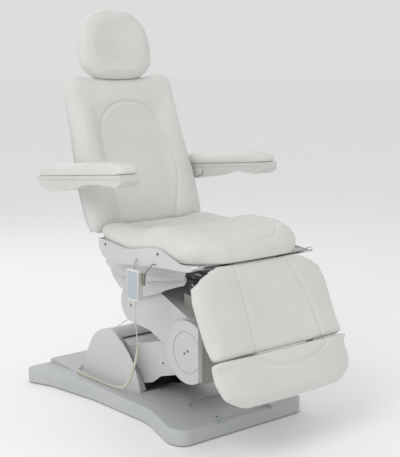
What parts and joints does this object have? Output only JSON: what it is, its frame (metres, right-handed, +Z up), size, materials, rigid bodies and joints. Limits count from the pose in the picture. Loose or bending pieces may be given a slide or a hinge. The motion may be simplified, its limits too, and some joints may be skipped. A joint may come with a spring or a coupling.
{
  "type": "podiatry_chair",
  "caption": "Treatment chair on a low waisted base, with a two-arm lift, reclining back, headrest, fold-up armrests, hinged legrest and sliding foot pad.",
  "frame": {"origin": "Middle of the chair's bounding box in plan, on the floor, without the hand control's cord.", "axes": "+X is the sitter's left, -Y is the way the chair faces, +Z is up. Shown with the lift down, the back up and the legrest lowered."},
  "size_m": [0.7824, 1.329, 1.5616],
  "materials": {
    "frame_steel": "semi-matte powder coat",
    "pin_steel": "bright turned steel",
    "rod_chrome": "polished",
    "cover_plastic": "fine satin",
    "base_plastic": "fine satin",
    "dark_plastic": "matt",
    "upholstery": "soft satin artificial leather",
    "board_wood": "plain plywood",
    "foot_rubber": "matt",
    "remote_plastic": "satin",
    "key_plastic": "matt membrane",
    "cord_rubber": "smooth"
  },
  "bodies": {
    "base": {"base_frame": "frame_steel", "base_feet": "foot_rubber", "base_pins": "pin_steel", "base_cover_front": "base_plastic", "base_cover_rear": "base_plastic", "hump_cover": "cover_plastic"},
    "lower_arm": {"lower_arm": "frame_steel", "lower_arm_cover": "cover_plastic"},
    "lower_link": {"lower_link": "frame_steel"},
    "knee": {"knee_block": "frame_steel", "knee_pins": "pin_steel", "knee_caps": "cover_plastic", "knee_cover": "cover_plastic"},
    "upper_arm": {"upper_arm": "frame_steel", "upper_arm_cover": "cover_plastic", "arm_hood": "cover_plastic"},
    "upper_link": {"upper_link": "frame_steel"},
    "seat": {"seat_frame": "frame_steel", "seat_pins": "pin_steel", "underseat_cover": "cover_plastic", "seat_shells": "cover_plastic", "seat_board": "board_wood", "seat_cushion": "upholstery", "back_motor": "dark_plastic", "leg_motor": "dark_plastic", "remote_shell": "remote_plastic", "remote_hook": "pin_steel", "cord_lead": "cord_rubber", "cord_curl": "cord_rubber", "cord_tail": "cord_rubber", "cord_gland": "cord_rubber"},
    "lift_motor": {"lift_motor": "dark_plastic"},
    "lift_rod": {"lift_rod": "rod_chrome"},
    "back_rod": {"back_rod": "rod_chrome"},
    "leg_rod": {"leg_rod": "rod_chrome"},
    "back": {"back_frame": "frame_steel", "back_board": "board_wood", "back_cushion": "upholstery", "back_cover": "cover_plastic", "headrest_socket": "dark_plastic", "armrest_bracket_left": "frame_steel", "armrest_bracket_right": "frame_steel"},
    "headrest_post": {"headrest_post": "rod_chrome"},
    "headrest": {"headrest_bracket": "frame_steel", "headrest_cushion": "upholstery"},
    "armrest_left": {"armrest_tray_left": "cover_plastic", "armrest_pad_left": "upholstery"},
    "armrest_right": {"armrest_tray_right": "cover_plastic", "armrest_pad_right": "upholstery"},
    "legrest": {"leg_frame": "frame_steel", "leg_board": "board_wood", "leg_cushion": "upholstery", "front_flap": "upholstery"},
    "footrest": {"foot_frame": "frame_steel", "foot_cushion": "upholstery"},
    "key_1": {"remote_key_1": "key_plastic"},
    "key_2": {"remote_key_2": "key_plastic"},
    "key_3": {"remote_key_3": "key_plastic"},
    "key_4": {"remote_key_4": "key_plastic"}
  },
  "joints": [
    {"name": "lift", "type": "hinge", "parent": "base", "child": "lower_arm", "pos_m": [0, 0.252, 0.14], "axis": [-1, 0, 0], "range_deg": [0, 26]},
    {"name": "lower_link_turn", "type": "hinge", "parent": "base", "child": "lower_link", "pos_m": [0, 0.266, 0.184], "axis": [-1, 0, 0], "range_deg": [0, 26]},
    {"name": "knee_turn", "type": "hinge", "parent": "lower_arm", "child": "knee", "pos_m": [0, -0.19289, 0.27178], "axis": [-1, 0, 0], "range_deg": [-26, 0]},
    {"name": "upper_arm_turn", "type": "hinge", "parent": "knee", "child": "upper_arm", "pos_m": [0, -0.20289, 0.34478], "axis": [-1, 0, 0], "range_deg": [-26, 0]},
    {"name": "upper_link_turn", "type": "hinge", "parent": "knee", "child": "upper_link", "pos_m": [0, -0.21689, 0.38878], "axis": [-1, 0, 0], "range_deg": [-26, 0]},
    {"name": "head_turn", "type": "hinge", "parent": "upper_arm", "child": "seat", "pos_m": [0, 0.14204, 0.40977], "axis": [-1, 0, 0], "range_deg": [0, 26]},
    {"name": "lift_motor_turn", "type": "hinge", "parent": "seat", "child": "lift_motor", "pos_m": [0, 0.16204, 0.63177], "axis": [-1, 0, 0], "range_deg": [-16.75, 0]},
    {"name": "lift_rod_slide", "type": "slide", "parent": "lift_motor", "child": "lift_rod", "axis": [0, -0.8865, -0.4627], "range_m": [0, 0.07852]},
    {"name": "back_recline", "type": "hinge", "parent": "seat", "child": "back", "pos_m": [0, 0.184, 0.7], "axis": [-1, 0, 0], "range_deg": [0, 65]},
    {"name": "back_rod_slide", "type": "slide", "parent": "seat", "child": "back_rod", "axis": [0, 0.9898, 0.1428], "range_m": [-0.06379, 0]},
    {"name": "legrest_raise", "type": "hinge", "parent": "seat", "child": "legrest", "pos_m": [0, -0.433, 0.64], "axis": [-1, 0, 0], "range_deg": [0, 65]},
    {"name": "leg_rod_slide", "type": "slide", "parent": "seat", "child": "leg_rod", "axis": [0, -1, 0], "range_m": [0, 0.06838]},
    {"name": "footrest_extend", "type": "slide", "parent": "legrest", "child": "footrest", "axis": [0, -0.4274, -0.9041], "range_m": [0, 0.11]},
    {"name": "headrest_height", "type": "slide", "parent": "back", "child": "headrest_post", "axis": [0, 0.3256, 0.9455], "range_m": [0, 0.1]},
    {"name": "headrest_tilt", "type": "hinge", "parent": "headrest_post", "child": "headrest", "pos_m": [0, 0.46413, 1.39223], "axis": [1, 0, 0], "range_deg": [-35, 8]},
    {"name": "armrest_left_fold", "type": "hinge", "parent": "back", "child": "armrest_left", "pos_m": [0, 0.227, 0.905], "axis": [-1, 0, 0], "range_deg": [0, 95]},
    {"name": "armrest_right_fold", "type": "hinge", "parent": "back", "child": "armrest_right", "pos_m": [0, 0.227, 0.905], "axis": [-1, 0, 0], "range_deg": [0, 95]},
    {"name": "key_1_press", "type": "slide", "parent": "seat", "child": "key_1", "axis": [1, 0, 0], "range_m": [0, 0.0008], "stiffness_N_per_m": 400},
    {"name": "key_2_press", "type": "slide", "parent": "seat", "child": "key_2", "axis": [1, 0, 0], "range_m": [0, 0.0008], "stiffness_N_per_m": 400},
    {"name": "key_3_press", "type": "slide", "parent": "seat", "child": "key_3", "axis": [1, 0, 0], "range_m": [0, 0.0008], "stiffness_N_per_m": 400},
    {"name": "key_4_press", "type": "slide", "parent": "seat", "child": "key_4", "axis": [1, 0, 0], "range_m": [0, 0.0008], "stiffness_N_per_m": 400}
  ],
  "couplings": [
    {"joint": "lower_link_turn", "follows": "lift", "ratio": 1},
    {"joint": "knee_turn", "follows": "lift", "ratio": -1},
    {"joint": "upper_arm_turn", "follows": "lift", "ratio": -1},
    {"joint": "upper_link_turn", "follows": "lift", "ratio": -1},
    {"joint": "head_turn", "follows": "lift", "ratio": 1},
    {"joint": "lift_motor_turn", "follows": "lift", "ratio": -0.6425},
    {"joint": "lift_rod_slide", "follows": "lift", "m_per_rad": 0.17258},
    {"joint": "back_rod_slide", "follows": "back_recline", "m_per_rad": -0.05605},
    {"joint": "leg_rod_slide", "follows": "legrest_raise", "m_per_rad": 0.06009}
  ]
}
